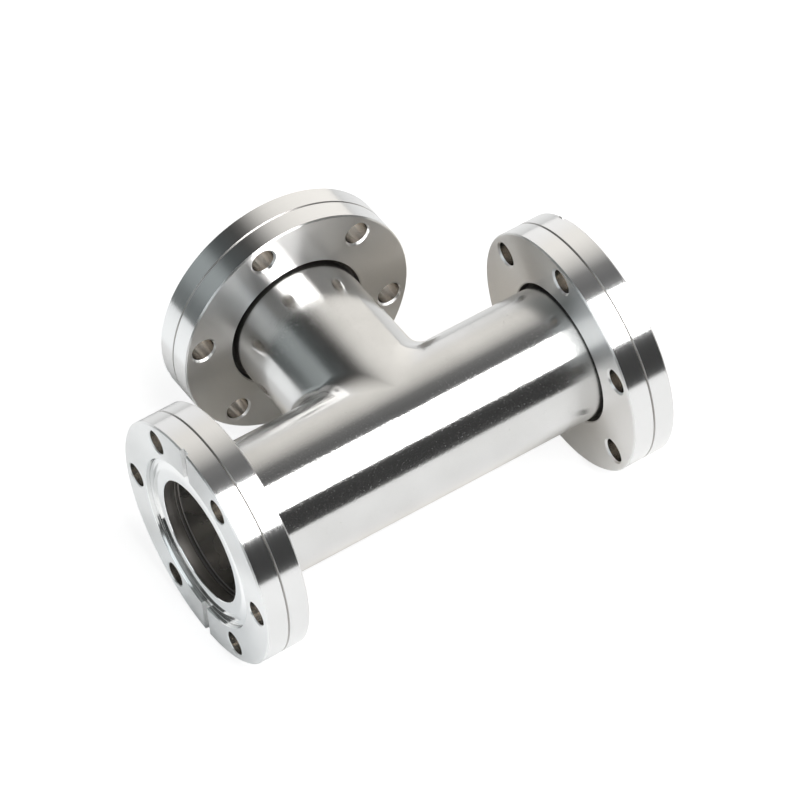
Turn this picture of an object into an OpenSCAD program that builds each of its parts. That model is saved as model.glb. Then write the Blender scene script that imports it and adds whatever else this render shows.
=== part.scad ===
// Vacuum tee: three equal ports, each with a knife-edge insert and a bolt ring that turns on it.
// The axes of the run (X) and the branch (Y) cross at the origin. Z is up, and the tee lies on its rims.
// Every port part is drawn about +Z with the sealing face at z = 0, and is then turned onto its port.

/* [Tee body] */
// Branch axis to the sealing face of each run port
run_reach = 62.5; // [58:0.5:110]
// Run axis to the sealing face of the branch port
branch_reach = 62.5; // [58:0.5:110]
// Outer diameter of the tube, the same for run and branch
tube_od = 38.1; // [36:0.1:39]
// Wall of the tube
tube_wall = 1.65; // [1.2:0.05:2.2]
// Radius of the drawn corner between run and branch, on the outside
crotch_r = 5; // [3:0.25:8]
// Depth of the tube's end below the sealing face
tube_end_depth = 5; // [4:0.25:5.5]
// Chamfer at each lip of the inner weld groove
weld_chamfer = 0.8; // [0.4:0.1:1.2]
// Depth of the weld bead's edges below the bore
weld_sag = 0.3; // [0.1:0.05:0.35]

/* [Knife-edge insert] */
// Width of the gasket seat, from the knife edge out to the wall of the recess
seat_w = 3.25; // [2.6:0.05:3.75]
// Depth of the knife edge below the sealing face
knife_depth = 0.66; // [0.4:0.02:0.8]
// Slope of the knife's outer flank, measured from the face
knife_slope = 20; // [15:1:30]
// Width of the knife's blunt tip
knife_tip = 0.1; // [0.05:0.01:0.2]
// Depth of the flat between the knife edge and the bore
inner_flat_depth = 1.1; // [0.9:0.05:1.5]
// Depth of the gasket seat outside the knife edge
recess_depth = 1.25; // [1:0.05:1.5]
// Thickness of the insert's collar
collar_t = 5.7; // [5:0.1:6.5]
// Length of the neck behind the collar
neck_len = 3; // [1.5:0.25:4]
// Wall of the neck round the tube
neck_wall = 1; // [0.8:0.05:1.5]

/* [Bolt ring] */
// Outer diameter of the bolt ring
ring_od = 69.3; // [68:0.1:76]
// Thickness of the bolt ring
ring_t = 12.7; // [12:0.1:16]
// Diameter of a bolt hole
bolt_hole_d = 6.7; // [5.5:0.1:7]
// Metal left between a bolt hole and the rim
rim_land = 1.95; // [1.2:0.05:3.5]
// Metal left between a bolt hole and the gasket recess
recess_land = 1.8; // [1.2:0.05:3]
// Number of bolt holes
bolt_count = 6; // [4:2:8]
// Chamfer of the bolt holes at the back face
hole_chamfer_back = 0.5; // [0.2:0.1:0.8]
// Chamfer of the bolt holes at the sealing face
hole_chamfer_front = 0.25; // [0.1:0.05:0.5]
// Chamfer of the rim
rim_chamfer = 0.4; // [0.2:0.1:1]
// Width of the fine groove round the middle of the rim
rim_groove_w = 0.6; // [0.3:0.1:1.2]
// Depth of that groove
rim_groove_depth = 0.3; // [0.1:0.05:0.6]
// Width of each of the two leak-check grooves
leak_groove_w = 2.5; // [1.5:0.1:4]
// Depth of the leak-check grooves
leak_groove_depth = 1; // [0.5:0.05:1.2]

/* [Retaining wire] */
// Diameter of the wire that keeps the ring on its insert
wire_d = 1; // [0.8:0.05:1.2]
// Opening of the wire, as an angle
wire_gap = 24; // [10:1:60]

/* [Fits] */
// Radial clearance between insert and bolt ring
running_fit = 0.05; // [0.02:0.01:0.1]
// Axial play of the bolt ring
end_play = 0.05; // [0.02:0.01:0.2]
// Radial clearance between tube and socket
socket_fit = 0.05; // [0.02:0.01:0.1]
// Clearance round the wire
wire_fit = 0.05; // [0.03:0.01:0.1]

/* [Turn of the bolt rings] */
// Left ring
left_turn = 1; // [-180:1:180]
// Right ring
right_turn = -25; // [-180:1:180]
// Branch ring
branch_turn = -16; // [-180:1:180]

/* [Hidden] */
$fn = 120;

// Steel as turned, as polished and as drawn wire
turned_steel = [0.80, 0.80, 0.79];
polished_steel = [0.72, 0.72, 0.71];
wire_steel = [0.62, 0.61, 0.59];

// Radii and depths that follow from the sizes above
tube_r = tube_od / 2;
bore_r = tube_r - tube_wall;
ring_r = ring_od / 2;
bolt_circle_r = ring_r - rim_land - bolt_hole_d / 2;
recess_r = bolt_circle_r - bolt_hole_d / 2 - recess_land;
knife_r = recess_r - seat_w;
collar_r = recess_r - running_fit;
collar_back = recess_depth + collar_t;
socket_r = tube_r + socket_fit;
neck_r = socket_r + neck_wall;
neck_end = collar_back + neck_len;
ring_bore_r = neck_r + running_fit;
shoulder_depth = collar_back + end_play;

// The wire lies half in the collar and half in the ring
wire_depth = recess_depth + collar_t / 2;
wire_ring_r = recess_r - running_fit / 2;
wire_groove_w = wire_d + 2 * wire_fit;
collar_groove_r = wire_ring_r - wire_d / 2 - wire_fit;
ring_groove_r = wire_ring_r + wire_d / 2 + 2 * wire_fit;

// Small edge breaks of the turned parts, the bead's distance from the insert, and a cutter's run past a face
edge_break = 0.15;
bore_break = 0.3;
bead_fit = 0.02;
past = 1;

// Steps of the corner between run and branch, and how far its edges run into the tubes
crotch_end_angle = 80;
crotch_steps = 30;
arc_steps = 6;
crotch_sink = 0.03;

// Directions from a ball in the corner, at angle a above the plane of the tee, to the run and the branch
function to_run(a) = [0, -cos(a), -sin(a)];
function to_branch(a) = [-cos(a), 0, -sin(a)];

// Point on a ball of radius ball_r, centred path_r from both axes, a share f of the way from run to branch
function ball_point(a, path_r, ball_r, f) =
    let (w = acos(to_run(a) * to_branch(a)))
    path_r * [cos(a), cos(a), sin(a)]
        + ball_r * (sin((1 - f) * w) * to_run(a) + sin(f * w) * to_branch(a)) / sin(w);

// One section of the corner of two rods of radius r: the arc of the ball, then a point inside the rods
function crotch_section(a, r, corner_r) = concat(
    [for (i = [0:arc_steps]) ball_point(a, r + corner_r, corner_r + crotch_sink, i / arc_steps)],
    [(r - tube_wall / 2) * [cos(a), cos(a), sin(a)]]
);

// Solid swept by that section from under the tee, round its corner, to the top
module crotch_sweep(r, corner_r) {
    n = arc_steps + 2;
    angles = [for (i = [0:crotch_steps]) crotch_end_angle * (2 * i / crotch_steps - 1)];
    points = [for (a = angles) each crotch_section(a, r, corner_r)];
    sides = [
        for (i = [0:crotch_steps - 1], j = [0:n - 1])
            let (p = i * n + j, q = i * n + (j + 1) % n)
            each [[q, p, q + n], [q + n, p, p + n]]
    ];
    last = crotch_steps * n;
    start_cap = [for (j = [0:n - 3]) [n - 1, j, j + 1]];
    end_cap = [for (j = [0:n - 3]) [last + n - 1, last + j + 1, last + j]];
    polyhedron(points, concat(sides, start_cap, end_cap));
}

// Crossing rods of radius r with rounded corners, each ending end_depth below its sealing face
module crossed_rods(r, corner_r, end_depth) {
    run_end = run_reach - end_depth;
    rotate([-90, 0, 0]) cylinder(r = r, h = branch_reach - end_depth);
    crotch_sweep(r, corner_r);
    mirror([1, 0, 0]) crotch_sweep(r, corner_r);
    translate([-run_end, 0, 0]) rotate([0, 90, 0]) cylinder(r = r, h = 2 * run_end);
}

// Turns a port part from +Z onto its port
module at_left() {
    translate([-run_reach, 0, 0]) rotate([0, -90, 0]) children();
}

module at_right() {
    translate([run_reach, 0, 0]) rotate([0, 90, 0]) children();
}

module at_branch() {
    translate([0, branch_reach, 0]) rotate([-90, 0, 0]) children();
}

// Cone that opens the tube's end into the weld groove
module tube_end_chamfer() {
    translate([0, 0, -tube_end_depth - weld_chamfer])
        cylinder(r1 = bore_r, r2 = bore_r + weld_chamfer + past, h = weld_chamfer + past);
}

// Bead that fills the weld groove to just below the bore, with a low crown. It is rooted in the tube's metal.
module weld_bead() {
    side = weld_chamfer - weld_sag;
    crown = weld_sag / 2;
    root = 1.2;
    rotate_extrude()
        translate([bore_r, -tube_end_depth])
        polygon([
            [root * weld_chamfer, -weld_sag],
            [weld_chamfer + 2 * bead_fit, -3 * bead_fit],
            [weld_sag, side - bead_fit],
            [crown, side / 2],
            [crown, -side / 2],
            [root * weld_sag, -root * side]
        ]);
}

module at_all_ports() {
    at_left() children();
    at_right() children();
    at_branch() children();
}

// One tube of even wall, with the same rounded corners outside and inside
module tee_body() {
    color(polished_steel) {
        difference() {
            crossed_rods(tube_r, crotch_r, tube_end_depth);
            crossed_rods(bore_r, crotch_r + tube_wall, tube_end_depth - past);
            at_all_ports() tube_end_chamfer();
        }
        at_all_ports() weld_bead();
    }
}

// Knife edge, gasket seat, collar, neck and socket, as radius and height below the face
module insert_profile() {
    flank_end_r = knife_r + knife_tip + (recess_depth - knife_depth) / tan(knife_slope);
    polygon([
        [bore_r, -inner_flat_depth - edge_break],
        [bore_r + edge_break, -inner_flat_depth],
        [knife_r, -inner_flat_depth],
        [knife_r, -knife_depth],
        [knife_r + knife_tip, -knife_depth],
        [flank_end_r, -recess_depth],
        [collar_r - edge_break, -recess_depth],
        [collar_r, -recess_depth - edge_break],
        [collar_r, -wire_depth + wire_groove_w / 2],
        [collar_groove_r, -wire_depth + wire_groove_w / 2],
        [collar_groove_r, -wire_depth - wire_groove_w / 2],
        [collar_r, -wire_depth - wire_groove_w / 2],
        [collar_r, -collar_back + edge_break],
        [collar_r - edge_break, -collar_back],
        [neck_r, -collar_back],
        [neck_r, -neck_end],
        [socket_r, -neck_end],
        [socket_r, -tube_end_depth],
        [bore_r + weld_chamfer, -tube_end_depth],
        [bore_r, -tube_end_depth + weld_chamfer]
    ]);
}

module weld_insert() {
    color(turned_steel) rotate_extrude() insert_profile();
}

// Rim, recess, shoulder and bore of the bolt ring, as radius and height below the face
module ring_profile() {
    groove_top = -ring_t / 2 + rim_groove_w / 2;
    groove_foot = -ring_t / 2 - rim_groove_w / 2;
    wire_top = -wire_depth + wire_groove_w / 2 + wire_fit;
    wire_foot = -wire_depth - wire_groove_w / 2 - wire_fit;
    polygon([
        [recess_r + edge_break, 0],
        [ring_r - rim_chamfer, 0],
        [ring_r, -rim_chamfer],
        [ring_r, groove_top],
        [ring_r - rim_groove_depth, -ring_t / 2],
        [ring_r, groove_foot],
        [ring_r, -ring_t + rim_chamfer],
        [ring_r - rim_chamfer, -ring_t],
        [ring_bore_r + bore_break, -ring_t],
        [ring_bore_r, -ring_t + bore_break],
        [ring_bore_r, -shoulder_depth],
        [recess_r, -shoulder_depth],
        [recess_r, wire_foot],
        [ring_groove_r, wire_foot],
        [ring_groove_r, wire_top],
        [recess_r, wire_top],
        [recess_r, -edge_break]
    ]);
}

// One bolt hole with a chamfer at each face
module bolt_hole() {
    r = bolt_hole_d / 2;
    translate([0, 0, -ring_t - past]) cylinder(r = r, h = ring_t + 2 * past);
    translate([0, 0, -hole_chamfer_front])
        cylinder(r1 = r, r2 = r + hole_chamfer_front + past, h = hole_chamfer_front + past);
    translate([0, 0, -ring_t - past])
        cylinder(r1 = r + hole_chamfer_back + past, r2 = r, h = hole_chamfer_back + past);
}

// Radial groove from the gasket recess out through the rim
module leak_groove() {
    translate([recess_r - past, -leak_groove_w / 2, -leak_groove_depth])
        cube([ring_r - recess_r + 2 * past, leak_groove_w, leak_groove_depth + past]);
}

// The first leak-check groove lies along +X, midway between two bolt holes
module bolt_ring(turn) {
    color(turned_steel) rotate([0, 0, turn]) difference() {
        rotate_extrude() ring_profile();
        for (i = [0:bolt_count - 1])
            rotate([0, 0, (i + 0.5) * 360 / bolt_count]) translate([bolt_circle_r, 0, 0]) bolt_hole();
        for (side = [0, 180])
            rotate([0, 0, side]) leak_groove();
    }
}

module retaining_wire() {
    color(wire_steel)
        translate([0, 0, -wire_depth])
        rotate([0, 0, wire_gap / 2])
        rotate_extrude(angle = 360 - wire_gap)
        translate([wire_ring_r, 0])
        circle(r = wire_d / 2, $fn = 24);
}

tee_body();
at_left() weld_insert();  // weld_insert_left
at_right() weld_insert();  // weld_insert_right
at_branch() weld_insert();  // weld_insert_branch
at_left() bolt_ring(left_turn);  // bolt_ring_left
at_right() bolt_ring(right_turn);  // bolt_ring_right
at_branch() bolt_ring(branch_turn);  // bolt_ring_branch
at_left() retaining_wire();  // retaining_wire_left
at_right() retaining_wire();  // retaining_wire_right
at_branch() retaining_wire();  // retaining_wire_branch
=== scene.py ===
import bpy
import bmesh
from math import cos, sin, pi, radians
from mathutils import Matrix, Quaternion, Vector


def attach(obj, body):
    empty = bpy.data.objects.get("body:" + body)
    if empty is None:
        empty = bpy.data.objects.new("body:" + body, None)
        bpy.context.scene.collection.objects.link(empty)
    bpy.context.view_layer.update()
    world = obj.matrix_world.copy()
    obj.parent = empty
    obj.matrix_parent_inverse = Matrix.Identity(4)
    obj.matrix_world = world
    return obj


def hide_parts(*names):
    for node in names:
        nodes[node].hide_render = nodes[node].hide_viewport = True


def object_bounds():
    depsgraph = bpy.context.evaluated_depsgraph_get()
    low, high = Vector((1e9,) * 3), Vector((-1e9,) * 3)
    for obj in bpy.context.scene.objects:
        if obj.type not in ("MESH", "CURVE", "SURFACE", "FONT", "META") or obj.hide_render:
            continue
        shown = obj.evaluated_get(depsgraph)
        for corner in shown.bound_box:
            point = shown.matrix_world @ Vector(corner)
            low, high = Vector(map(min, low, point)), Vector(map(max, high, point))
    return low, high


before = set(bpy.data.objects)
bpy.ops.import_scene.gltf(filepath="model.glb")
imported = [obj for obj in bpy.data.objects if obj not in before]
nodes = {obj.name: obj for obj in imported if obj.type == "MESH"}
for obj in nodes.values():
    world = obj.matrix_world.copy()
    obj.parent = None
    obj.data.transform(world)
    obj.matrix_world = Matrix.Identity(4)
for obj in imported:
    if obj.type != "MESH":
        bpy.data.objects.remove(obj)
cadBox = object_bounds()
scene = bpy.context.scene
mm = 0.001
print("frame loaded,", len(nodes), "nodes")


def aimFrom(thing, place, aim, roll=0):
    thing.location = place
    thing.rotation_mode = "QUATERNION"
    toAim = (Vector(aim) - Vector(place)).to_track_quat("-Z", "Y")
    thing.rotation_quaternion = toAim @ Quaternion((0, 0, 1), radians(roll))
    scene.collection.objects.link(thing)


# Camera: its place and the point it looks at, in millimetres from where the two axes cross
camera = {"place": (-488.3, -870.9, 1118.6), "aim": (4.1, 5.7, 6.3), "roll": -4.97, "lens": 260.3, "sensor": 36,
          "farthest": 20}


def placeCamera(c):
    data = bpy.data.cameras.new("camera")
    data.lens = c["lens"]
    data.sensor_width = c["sensor"]
    data.clip_end = c["farthest"]
    cam = bpy.data.objects.new("camera", data)
    aimFrom(cam, Vector(c["place"]) * mm, Vector(c["aim"]) * mm, c["roll"])
    scene.camera = cam


placeCamera(camera)
print("camera placed")


# Nodes: a value is a number, a colour or another node's output
def newMaterial(name):
    mat = bpy.data.materials.new(name)
    mat.use_nodes = True
    return mat, mat.node_tree.nodes, mat.node_tree.links, mat.node_tree.nodes["Principled BSDF"]


def feed(ln, value, socket):
    if isinstance(value, (int, float)):
        socket.default_value = value
    elif isinstance(value, tuple):
        socket.default_value = (*value, 1)
    else:
        ln.new(value, socket)


def coordinates(ns, ln, kind="Object"):
    place = ns.new("ShaderNodeTexCoord").outputs[kind]
    split = ns.new("ShaderNodeSeparateXYZ")
    ln.new(place, split.inputs["Vector"])
    return place, split.outputs


def noiseNode(ns, ln, vector, scale, detail, dimensions="3D", stretch=None, turn=0):
    noise = ns.new("ShaderNodeTexNoise")
    noise.noise_dimensions = dimensions
    noise.inputs["Scale"].default_value = scale
    noise.inputs["Detail"].default_value = detail
    if stretch:
        mapping = ns.new("ShaderNodeMapping")
        mapping.inputs["Scale"].default_value = stretch
        mapping.inputs["Rotation"].default_value = (0, 0, radians(turn))
        ln.new(vector, mapping.inputs["Vector"])
        vector = mapping.outputs["Vector"]
    ln.new(vector, noise.inputs["Vector"])
    return noise.outputs["Fac"]


def rangeNode(ns, ln, value, span, result=(0, 1)):
    r = ns.new("ShaderNodeMapRange")
    ln.new(value, r.inputs["Value"])
    for key, end in zip(("From Min", "From Max", "To Min", "To Max"), (*span, *result)):
        feed(ln, end, r.inputs[key])
    return r.outputs["Result"]


def mathNode(ns, ln, operation, a, b=None):
    m = ns.new("ShaderNodeMath")
    m.operation = operation
    for socket, value in zip(m.inputs, (a, b)):
        if value is not None:
            feed(ln, value, socket)
    return m.outputs["Value"]


def mixNode(ns, ln, share, low, high, kind="RGBA"):
    mix = ns.new("ShaderNodeMix")
    mix.data_type = kind
    for key, value in (("Factor", share), ("A", low), ("B", high)):
        feed(ln, value, mix.inputs[key])
    return mix.outputs["Result"]


def bumpNode(ns, ln, height, strength, distance):
    bump = ns.new("ShaderNodeBump")
    bump.inputs["Strength"].default_value = strength
    bump.inputs["Distance"].default_value = distance
    ln.new(height, bump.inputs["Height"])
    return bump.outputs["Normal"]


def roundTangent(ns, axis):
    tangent = ns.new("ShaderNodeTangent")
    tangent.direction_type = "RADIAL"
    tangent.axis = axis
    return tangent.outputs["Tangent"]


# Metals. Each reads Object coordinates, and its highlight is drawn out across the marks of the lathe or the
# polishing belt, which run round an axis
def worked(ln, shader, stretch, tangent):
    shader.inputs["Metallic"].default_value = 1
    shader.inputs["Anisotropic"].default_value = stretch
    shader.inputs["Anisotropic Rotation"].default_value = 0.25  # a quarter turn, across the marks
    ln.new(tangent, shader.inputs["Tangent"])


noiseSpan = (0.3, 0.7)  # where most of a noise's values lie

# The tube is polished round its axis: that of the run, or that of the branch where the branch leads. Run and
# branch are the roughness of each, lean is how far their marks stand askew, and change is where they meet
polish = {"bright": (0.74, 0.735, 0.725), "dull": (0.69, 0.685, 0.672), "clouds": 60, "cloudSpan": (0.35, 0.65),
          "run": 0.17, "branch": 0.12, "change": 0.014, "haze": 0.04, "stretch": 0.95,
          "fine": 3000, "long": 0.5, "lean": {"run": 6, "branch": -9},
          "scratch": 1.0, "depth": 0.000009, "specks": 0.12, "speckSpan": (0.56, 0.72)}
insidePolish = dict(polish, bright=(0.7, 0.68, 0.65), dull=(0.58, 0.56, 0.53), run=0.26, branch=0.26, haze=0.12,
                    stretch=0.6, fine=2000, long=0.2, scratch=0.3, depth=0.00003, specks=0)


def polishedSteel(name, p):
    mat, ns, ln, shader = newMaterial(name)
    place, along = coordinates(ns, ln)
    clouds = noiseNode(ns, ln, place, p["clouds"], 4)
    lead = mathNode(ns, ln, "SUBTRACT", along["Y"], mathNode(ns, ln, "ABSOLUTE", along["X"]))
    share = rangeNode(ns, ln, lead, (-p["change"], p["change"]))
    runMarks = noiseNode(ns, ln, place, p["fine"], 3, stretch=(p["long"], 1, 1), turn=p["lean"]["run"])
    branchMarks = noiseNode(ns, ln, place, p["fine"], 3, stretch=(1, p["long"], 1), turn=p["lean"]["branch"])
    marks = rangeNode(ns, ln, share, (0, 1), (runMarks, branchMarks))
    worked(ln, shader, p["stretch"],
           mixNode(ns, ln, share, roundTangent(ns, "X"), roundTangent(ns, "Y"), kind="VECTOR"))
    colour = mixNode(ns, ln, rangeNode(ns, ln, clouds, p["cloudSpan"]), p["bright"], p["dull"])
    ln.new(colour, shader.inputs["Base Color"])
    rough = mathNode(ns, ln, "ADD", rangeNode(ns, ln, share, (0, 1), (p["run"], p["branch"])),
                     rangeNode(ns, ln, marks, p["speckSpan"], (0, p["specks"])))
    swing = rangeNode(ns, ln, clouds, noiseSpan, (-p["haze"] / 2, p["haze"] / 2))
    ln.new(mathNode(ns, ln, "ADD", rough, swing), shader.inputs["Roughness"])
    ln.new(bumpNode(ns, ln, marks, p["scratch"], p["depth"]), shader.inputs["Normal"])
    return mat


# Turned pieces carry fine rings round their axis
turning = {"clouds": 45, "depth": 0.00002}


def turnedSteel(name, axis, p):
    mat, ns, ln, shader = newMaterial(name)
    place, along = coordinates(ns, ln)
    flat = ns.new("ShaderNodeCombineXYZ")
    for key in "XYZ":
        if key != axis:
            ln.new(along[key], flat.inputs[key])
    radius = ns.new("ShaderNodeVectorMath")
    radius.operation = "LENGTH"
    ln.new(flat.outputs["Vector"], radius.inputs[0])
    where = ns.new("ShaderNodeCombineXYZ")
    ln.new(radius.outputs["Value"], where.inputs["X"])
    ln.new(along[axis], where.inputs["Y"])
    rings = noiseNode(ns, ln, where.outputs["Vector"], p["rings"], 4, dimensions="2D")
    clouds = noiseNode(ns, ln, place, turning["clouds"], 3)
    worked(ln, shader, p["stretch"], roundTangent(ns, axis))
    colour = mixNode(ns, ln, rangeNode(ns, ln, clouds, noiseSpan), p["bright"], p["dull"])
    ln.new(colour, shader.inputs["Base Color"])
    ln.new(rangeNode(ns, ln, rings, noiseSpan, (p["smooth"], p["rough"])), shader.inputs["Roughness"])
    ln.new(bumpNode(ns, ln, rings, p["groove"], turning["depth"]), shader.inputs["Normal"])
    return mat


ringFinish = {"bright": (0.87, 0.865, 0.856), "dull": (0.82, 0.813, 0.80), "smooth": 0.32, "rough": 0.39,
              "stretch": 1.0, "rings": 4000, "groove": 0.05}
rimFinish = {"bright": (0.84, 0.838, 0.833), "dull": (0.80, 0.797, 0.79), "smooth": 0.12, "rough": 0.2,
             "stretch": 0.7, "rings": 3000, "groove": 0.03}
insertFinish = {"bright": (0.9, 0.895, 0.885), "dull": (0.85, 0.842, 0.83), "smooth": 0.07, "rough": 0.12,
                "stretch": 0.7, "rings": 2500, "groove": 0.008}
holeFinish = {"bright": (0.75, 0.72, 0.685), "dull": (0.56, 0.53, 0.495), "smooth": 0.14, "rough": 0.24,
              "stretch": 0.5, "rings": 2500, "groove": 0.2}
# Painted light: the left ring's holes get a lighter copy of the drilled finish
litLeftHoleFinish = dict(holeFinish, bright=(0.92, 0.89, 0.85), dull=(0.72, 0.69, 0.65))
# Painted shade: a darker finish for the V-groove round the rim
grooveShadeFinish = {"bright": (0.5, 0.485, 0.47), "dull": (0.42, 0.405, 0.39), "smooth": 0.3, "rough": 0.4,
                "stretch": 0.5, "rings": 2500, "groove": 0.1}
throatFinish = {"bright": (0.54, 0.51, 0.48), "dull": (0.43, 0.405, 0.38), "smooth": 0.3, "rough": 0.42,
                "stretch": 0.4, "rings": 2500, "groove": 0.1}
# Painted shade: a dark finish for the narrow gap between tube and ring bore, and for the insert's neck in it
paintedGapShade = {"bright": (0.2, 0.185, 0.175), "dull": (0.12, 0.11, 0.105), "smooth": 0.45, "rough": 0.6,
             "stretch": 0.3, "rings": 2500, "groove": 0.15}
weldFinish = {"bright": (0.24, 0.22, 0.205), "dull": (0.18, 0.165, 0.155), "smooth": 0.55, "rough": 0.7,
              "stretch": 0.1, "rings": 2500, "groove": 0.3}
wireFinish = {"bright": (0.62, 0.61, 0.59), "dull": (0.5, 0.49, 0.47), "smooth": 0.3, "rough": 0.4,
              "stretch": 0.5, "rings": 5000, "groove": 0.2}

tubeMetal = polishedSteel("polishedSteel", polish)
boreMetal = polishedSteel("boreSteel", insidePolish)
print("materials made")


# Pieces. Each is drawn in millimetres about its own port's axis, face at zero, and then put in place in metres
reach = 62.5  # from where the axes cross to each port's face
ports = {
    "left": Matrix.Translation((-reach, 0, 0)) @ Matrix.Rotation(radians(-90), 4, "Y"),
    "right": Matrix.Translation((reach, 0, 0)) @ Matrix.Rotation(radians(90), 4, "Y"),
    "branch": Matrix.Translation((0, reach, 0)) @ Matrix.Rotation(radians(-90), 4, "X"),
}
portAxis = {"left": "X", "right": "X", "branch": "Y"}
mergeWithin = 1e-4
sharpFrom = 14
roundSteps = 192


def portSteel(kind, side, finish):
    return turnedSteel(kind + "Steel" + side.title(), portAxis[side], finish)


def shadeSharp(mesh):
    mesh.shade_smooth()
    mesh.set_sharp_from_angle(angle=radians(sharpFrom))


def addPiece(name, bm, place, materials):
    bmesh.ops.remove_doubles(bm, verts=bm.verts, dist=mergeWithin)
    bmesh.ops.recalc_face_normals(bm, faces=bm.faces)
    mesh = bpy.data.meshes.new(name)
    bm.to_mesh(mesh)
    bm.free()
    mesh.transform(Matrix.Scale(mm, 4) @ place)
    shadeSharp(mesh)
    piece = bpy.data.objects.new(name, mesh)
    scene.collection.objects.link(piece)
    for m in materials:
        mesh.materials.append(m)
    return piece


def spinProfile(bm, points, steps, closed=True):
    verts = [bm.verts.new((r, 0, z)) for r, z in points]
    edges = [bm.edges.new(pair) for pair in zip(verts, verts[1:] + verts[:1])][:None if closed else -1]
    bmesh.ops.spin(bm, geom=verts + edges, axis=(0, 0, 1), cent=(0, 0, 0), angle=2 * pi, steps=steps, use_merge=True)


def cutAway(piece, cutters):
    for cutter in cutters:
        cut = piece.modifiers.new("cut", "BOOLEAN")
        cut.operation = "DIFFERENCE"
        cut.solver = "EXACT"
        cut.object = cutter
    graph = bpy.context.evaluated_depsgraph_get()
    mesh = bpy.data.meshes.new_from_object(piece.evaluated_get(graph))
    piece.modifiers.clear()
    old = piece.data
    piece.data = mesh
    bpy.data.meshes.remove(old)
    mesh.name = piece.name
    for cutter in cutters:
        bpy.data.objects.remove(cutter)
    shadeSharp(mesh)


# Tee body: two tubes crossing, with a corner rolled by a ball, drawn as one skin outside and one inside. The
# corner's radius grows to that of the crown. The bead of the weld is given as radius and depth from the face
teeSizes = {"tube": 19.05, "bore": 17.4, "corner": 5.0, "crown": 32.0, "widensFrom": 46,
            "widening": 1.3, "endDepth": 5.0, "around": 120, "along": 6, "turns": 16,
            "bead": [(19.05, 5.0), (18.19, 5.01), (17.7, 4.52), (17.56, 4.72), (17.53, 5.0), (17.56, 5.28),
                     (17.7, 5.5), (17.4, 5.8)]}


def patch(bm, across, along, where, material):
    made = bmesh.ops.create_grid(bm, x_segments=across, y_segments=along, size=1)
    for v in made["verts"]:
        v.co = where((v.co.x + 1) / 2, (v.co.y + 1) / 2)
    for face in {f for v in made["verts"] for f in v.link_faces}:
        face.material_index = material


def rodSkin(bm, s, r, end, material):
    def path(a):  # how far from the axes the ball's centre runs, a radians above the plane of the tee
        crown = max(0, (abs(a) - radians(s["widensFrom"])) / radians(90 - s["widensFrom"]))
        return s["tube"] + s["corner"] + (s["crown"] - s["corner"]) * crown ** s["widening"]

    def runFront(u, v):
        a = pi * (u - 0.5)
        start = path(a) * cos(a)
        return (start + v * (end - start), r * cos(a), r * sin(a))

    def runBack(u, v):
        a = pi * (u + 0.5)
        return (v * end, r * cos(a), r * sin(a))

    def branchHalf(u, v):
        a = pi * (u - 0.5)
        start = path(a) * cos(a)
        return (r * cos(a), start + v * (end - start), r * sin(a))

    def corner(u, v):
        a = pi * (u - 0.5)
        toRun, toBranch = Vector((0, -cos(a), -sin(a))), Vector((-cos(a), 0, -sin(a)))
        narrow = toRun.angle(toBranch, 0) < 0.01  # slerp needs two directions that differ
        part = toRun.lerp(toBranch, v) if narrow else toRun.slerp(toBranch, v)
        return Vector((cos(a), cos(a), sin(a))) * path(a) + part.normalized() * (path(a) - r)

    for half in (runFront, runBack, branchHalf):
        patch(bm, s["around"], s["along"], half, material)
    patch(bm, s["around"], s["turns"], corner, material)


def tubeEnd(bm, s, toBranch):
    last = len(s["bead"]) - 1

    def rim(u, v):
        r, depth = s["bead"][round(v * last)]
        a = pi * (u - 0.5) if toBranch else 2 * pi * (u - 0.25)
        along = reach - depth
        return (r * cos(a), along, r * sin(a)) if toBranch else (along, r * cos(a), r * sin(a))

    patch(bm, s["around"] * (1 if toBranch else 2), last, rim, 1)


def makeTee(s):  # its materials: 0 outside, 1 weld bead, 2 inside
    bm = bmesh.new()
    rodSkin(bm, s, s["tube"], reach - s["endDepth"], 0)
    rodSkin(bm, s, s["bore"], reach - s["bead"][-1][1], 2)
    tubeEnd(bm, s, False)
    tubeEnd(bm, s, True)
    bmesh.ops.mirror(bm, geom=bm.verts[:] + bm.edges[:] + bm.faces[:], axis="X", merge_dist=-1)
    tee = addPiece("teeBody", bm, Matrix.Identity(4), [tubeMetal, turnedSteel("weldBead", "X", weldFinish), boreMetal])
    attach(tee, "tee")
    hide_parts("tee_body")


makeTee(teeSizes)
print("tee body made")


# Weld insert: knife edge, gasket seat, collar, neck and socket, as radius and depth from the sealing face.
# The throat's finish is on what lies inside its radius and behind its depth, and the neck's painted shade likewise
insertSizes = {
    "profile": [
        (17.4, -1.25), (17.55, -1.1), (20.95, -1.1), (20.95, -0.66), (21.05, -0.66), (22.671, -1.25), (24.0, -1.25),
        (24.15, -1.4), (24.15, -3.55), (23.625, -3.55), (23.625, -4.65), (24.15, -4.65), (24.15, -6.8),
        (24.0, -6.95), (20.1, -6.95), (20.1, -9.95), (19.1, -9.95), (19.1, -5.0), (18.2, -5.0), (17.4, -4.2),
    ],
    "throat": (18.3, -1.3), "neck": (20.2, -6.9),
}


def spans(face):
    radii, depths = [v.co.xy.length for v in face.verts], [v.co.z for v in face.verts]
    return min(radii), max(radii), min(depths), max(depths)


def makeInsert(side, s):  # its materials: 0 seat and collar, 1 throat, 2 neck, in painted shade
    bm = bmesh.new()
    spinProfile(bm, s["profile"], roundSteps)
    for face in bm.faces:
        _, farthest, lowest, highest = spans(face)
        throat = farthest < s["throat"][0] and lowest < s["throat"][1]
        neck = farthest < s["neck"][0] and highest < s["neck"][1]
        face.material_index = 1 if throat else 2 if neck else 0
    insert = addPiece("insert" + side.title(), bm, ports[side],
                      [portSteel("insert", side, insertFinish), portSteel("throat", side, throatFinish),
                       portSteel("neck", side, paintedGapShade)])
    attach(insert, "tee")
    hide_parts("weld_insert_" + side)


for side in ports:
    makeInsert(side, insertSizes)
print("inserts made")
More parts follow.
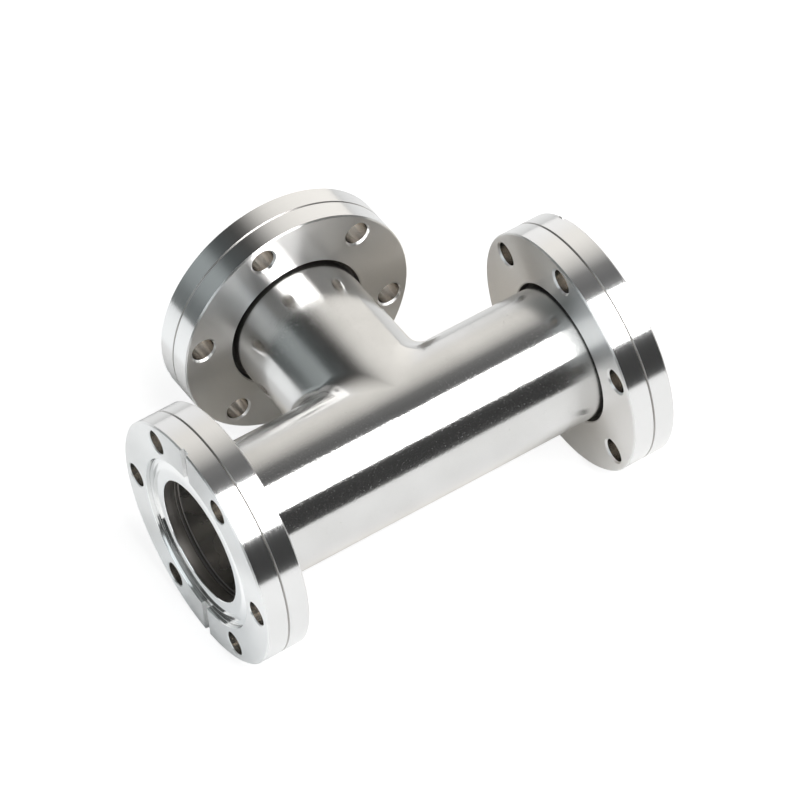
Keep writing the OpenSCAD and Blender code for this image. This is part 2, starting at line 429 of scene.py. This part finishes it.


# Bolt ring: radius and depth from the sealing face, then six holes and two leak-check grooves. Bore, recess
# and rim have finishes of their own, the bore's a painted shade, parted by these radii and depths
ringSizes = {
    "profile": [
        (24.35, 0), (34.25, 0), (34.65, -0.4), (34.65, -6.05), (34.35, -6.35), (34.65, -6.65), (34.65, -12.3),
        (34.25, -12.7), (20.45, -12.7), (20.15, -12.4), (20.15, -7.0), (24.2, -7.0), (24.2, -4.7),
        (24.775, -4.7), (24.775, -3.5), (24.2, -3.5), (24.2, -0.15),
    ],
    "bore": 20.2, "recess": (24.4, -4.8), "rim": 34.3, "rimGroove": (34.4, -6.7, -6.0),
    "turn": {"left": 1, "right": -25, "branch": -16},
}
holeSizes = {"profile": [(0, 1), (4.6, 1), (3.35, -0.25), (3.35, -12.2), (4.85, -13.7), (0, -13.7)],
             "count": 6, "circle": 29.35, "steps": 48}
leakGroove = {"length": 14, "width": 2.5, "depth": 1.0, "middle": 30.2}


def ringFace(face, s):  # the ring's materials: 0 faces, 1 rim and recess, 2 drilled holes, lighter on the left ring as painted light, 3 bore, in painted shade, 4 rim groove, in painted shade
    nearest, farthest, lowest, _ = spans(face)
    middle = face.calc_center_median().z
    if s["rim"] < nearest < s["rimGroove"][0] and s["rimGroove"][1] < middle < s["rimGroove"][2]:
        return 4
    if farthest < s["bore"]:
        return 3
    inRecess = farthest < s["recess"][0] and lowest > s["recess"][1]
    return 1 if nearest > s["rim"] or inRecess else 0


def holeCutters(place, s):
    for i in range(s["count"]):
        bm = bmesh.new()
        spinProfile(bm, s["profile"], s["steps"], closed=False)
        bm.normal_update()
        for face in bm.faces:
            face.material_index = 2 if abs(face.normal.z) < 0.1 else 0  # the wall is drilled, not its chamfers
        turn = Matrix.Rotation(2 * pi * (i + 0.5) / s["count"], 4, "Z")
        yield addPiece("holeCutter", bm, place @ turn @ Matrix.Translation((s["circle"], 0, 0)), [])


def grooveCutters(place, s):
    for turn in (0, pi):
        bm = bmesh.new()
        made = bmesh.ops.create_cube(bm, size=1)
        bmesh.ops.scale(bm, verts=made["verts"], vec=(s["length"], s["width"], 2 * s["depth"]))
        spot = Matrix.Rotation(turn, 4, "Z") @ Matrix.Translation((s["middle"], 0, 0))
        yield addPiece("grooveCutter", bm, place @ spot, [])


def makeRing(side, s):
    bm = bmesh.new()
    spinProfile(bm, s["profile"], roundSteps)
    for face in bm.faces:
        face.material_index = ringFace(face, s)
    place = ports[side] @ Matrix.Rotation(radians(s["turn"][side]), 4, "Z")
    # The left ring's holes take a lighter copy of the drilled finish, painted light; the gap's and the rim groove's
    # finishes are painted shade
    ring = addPiece("boltRing" + side.title(), bm, place,
                    [portSteel("ring", side, ringFinish), portSteel("rim", side, rimFinish),
                     portSteel("drilled", side, litLeftHoleFinish if side == "left" else holeFinish),
                     portSteel("gapShade", side, paintedGapShade), portSteel("groove", side, grooveShadeFinish)])
    cutAway(ring, [*holeCutters(place, holeSizes), *grooveCutters(place, leakGroove)])
    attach(ring, side + "_ring")
    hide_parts("bolt_ring_" + side)


for side in ports:
    makeRing(side, ringSizes)
print("bolt rings made")


# Retaining wires stay as they are, in a drawn finish
for side in ports:
    wire = nodes["retaining_wire_" + side]
    wire.data.materials.clear()
    wire.data.materials.append(portSteel("wire", side, wireFinish))
print("wires finished")


# The floor shows white. What metal sees of it has a painted shade growing darker to the front, a painted warm
# tint in the shade between the flanges, and a painted glow a little past the left face. Edges of these are in metres
# along X or Y
floorFinish = {"size": 0.8, "front": -0.47, "left": -0.36, "below": 0.0001,
               "near": (0.81, 0.81, 0.81), "far": (0.66, 0.66, 0.66), "nearTo": -0.08,
               "warm": (0.83, 0.79, 0.73), "warmFront": (-0.03, 0.02), "warmBack": (0.05, 0.08),
               "warmLeft": (-0.045, -0.03),
               "seen": (0.35, 0.35, 0.35), "glow": 0.8,
               "leftGlow": 0.2, "leftEdge": (-0.0625, -0.068), "leftTint": (0.85, 0.94, 1)}


def makeFloor(f):
    bm = bmesh.new()
    bmesh.ops.create_grid(bm, x_segments=1, y_segments=1, size=f["size"])
    bmesh.ops.translate(bm, verts=bm.verts, vec=(0, 0, cadBox[0][2] - f["below"]))
    for v in bm.verts:
        v.co.y = max(v.co.y, f["front"])
        v.co.x = max(v.co.x, f["left"])
    mesh = bpy.data.meshes.new("floor")
    bm.to_mesh(mesh)
    bm.free()
    floor = bpy.data.objects.new("floor", mesh)
    scene.collection.objects.link(floor)
    mat, ns, ln, shader = newMaterial("floorWhite")
    shader.inputs["Roughness"].default_value = 1
    shader.inputs["Specular IOR Level"].default_value = 0
    rays = ns.new("ShaderNodeLightPath").outputs
    along = coordinates(ns, ln)[1]
    # Painted shade: darker towards the front edge
    shadeToFront = mixNode(ns, ln, rangeNode(ns, ln, along["Y"], (f["nearTo"], f["front"])), f["near"], f["far"])
    # Painted warm tint in the shade between the flanges
    warm = mathNode(ns, ln, "MULTIPLY", rangeNode(ns, ln, along["Y"], f["warmFront"]),
                    rangeNode(ns, ln, along["Y"], f["warmBack"], (1, 0)))
    warm = mathNode(ns, ln, "MULTIPLY", warm, rangeNode(ns, ln, along["X"], f["warmLeft"]))
    colour = mixNode(ns, ln, rays["Is Camera Ray"], mixNode(ns, ln, warm, shadeToFront, f["warm"]), f["seen"])
    ln.new(colour, shader.inputs["Base Color"])
    glow = mathNode(ns, ln, "MULTIPLY", rays["Is Camera Ray"], f["glow"])
    # Painted glow past the left face, seen only in reflections, in a cool tint
    left = rangeNode(ns, ln, along["X"], f["leftEdge"], (0, f["leftGlow"]))
    left = mathNode(ns, ln, "MULTIPLY", rays["Is Glossy Ray"], left)
    ln.new(mathNode(ns, ln, "ADD", glow, left), shader.inputs["Emission Strength"])
    ln.new(mixNode(ns, ln, rays["Is Glossy Ray"], (1, 1, 1), f["leftTint"]), shader.inputs["Emission Color"])
    mesh.materials.append(mat)


makeFloor(floorFinish)

# The key hangs over the camera and leans only forward; a cooler one stands at the left
lamps = {
    "key": {"place": (0.3, -0.874, 1.34), "aim": (0.3, 0, 0), "size": (1.12, 1.27), "power": 34,
            "colour": (1, 1, 1)},
    "side": {"place": (-1.305, -0.36, 0.645), "aim": (0, 0, 0), "size": (1.5, 0.9), "power": 5,
             "colour": (0.88, 0.95, 1)},
}


def makeLamp(name, s):
    data = bpy.data.lights.new(name, "AREA")
    data.shape = "RECTANGLE"
    data.size, data.size_y = s["size"]
    data.energy = s["power"]
    data.color = s["colour"]
    aimFrom(bpy.data.objects.new(name, data), s["place"], s["aim"])


for name, settings in lamps.items():
    makeLamp(name, settings)

# Walls and ceiling of the studio as grey levels, from front to back and from left to right. The levels from
# left to right and the warm tint hold behind the object, and the left wall is cooler
studio = {
    "frontToBack": [(-1, 0.05), (-0.7, 0.06), (-0.5, 0.17), (0, 0.15), (0.05, 0.155), (0.23, 0.21), (0.41, 0.55),
                    (0.58, 0.77), (0.72, 0.88), (0.86, 0.88), (0.95, 0.93)],
    "leftToRight": [(-0.81, 0.12), (-0.785, 0.14), (-0.76, 0.4), (-0.6, 0.5), (-0.53, 0.38), (-0.47, 0.18),
                    (-0.38, 0.11), (-0.17, 0.08), (-0.06, 0.16), (0.05, 0.43), (0.16, 0.75), (0.27, 1),
                    (0.38, 1.15), (0.56, 1.3), (0.81, 1.36)],
    "behind": (0.1, 0.45), "backTint": (1, 0.975, 0.93), "tintEnds": (0.8, 0.95),
    "leftTint": (0.9, 0.985, 1), "leftEdge": (-0.1, -0.35),
}


def levelRamp(ns, ln, value, stops):
    ramp = ns.new("ShaderNodeValToRGB")
    bar = ramp.color_ramp
    while len(bar.elements) < len(stops):
        bar.elements.new(0.5)
    for element, (at, level) in zip(bar.elements, stops):
        element.position = (at + 1) / 2
        element.color = (level, level, level, 1)
    ln.new(rangeNode(ns, ln, value, (-1, 1)), ramp.inputs["Fac"])
    return ramp.outputs["Color"]


def makeStudio(s):
    world = bpy.data.worlds.new("studio")
    scene.world = world
    world.use_nodes = True
    ns, ln = world.node_tree.nodes, world.node_tree.links
    along = coordinates(ns, ln, "Generated")[1]
    behind = rangeNode(ns, ln, along["Y"], s["behind"])
    warm = mathNode(ns, ln, "MULTIPLY", behind, rangeNode(ns, ln, along["Y"], s["tintEnds"], (1, 0)))
    tint = mixNode(ns, ln, rangeNode(ns, ln, along["X"], s["leftEdge"]),
                   mixNode(ns, ln, warm, (1, 1, 1), s["backTint"]), s["leftTint"])
    ln.new(tint, ns["Background"].inputs["Color"])
    across = mathNode(ns, ln, "MULTIPLY", behind, levelRamp(ns, ln, along["X"], s["leftToRight"]))
    across = mathNode(ns, ln, "ADD", across, mathNode(ns, ln, "SUBTRACT", 1, behind))
    light = mathNode(ns, ln, "MULTIPLY", levelRamp(ns, ln, along["Y"], s["frontToBack"]), across)
    rays = ns.new("ShaderNodeLightPath")
    ln.new(mathNode(ns, ln, "MAXIMUM", light, rays.outputs["Is Camera Ray"]), ns["Background"].inputs["Strength"])


makeStudio(studio)
print("floor, lamps and studio made")

scene.view_settings.view_transform = "Standard"
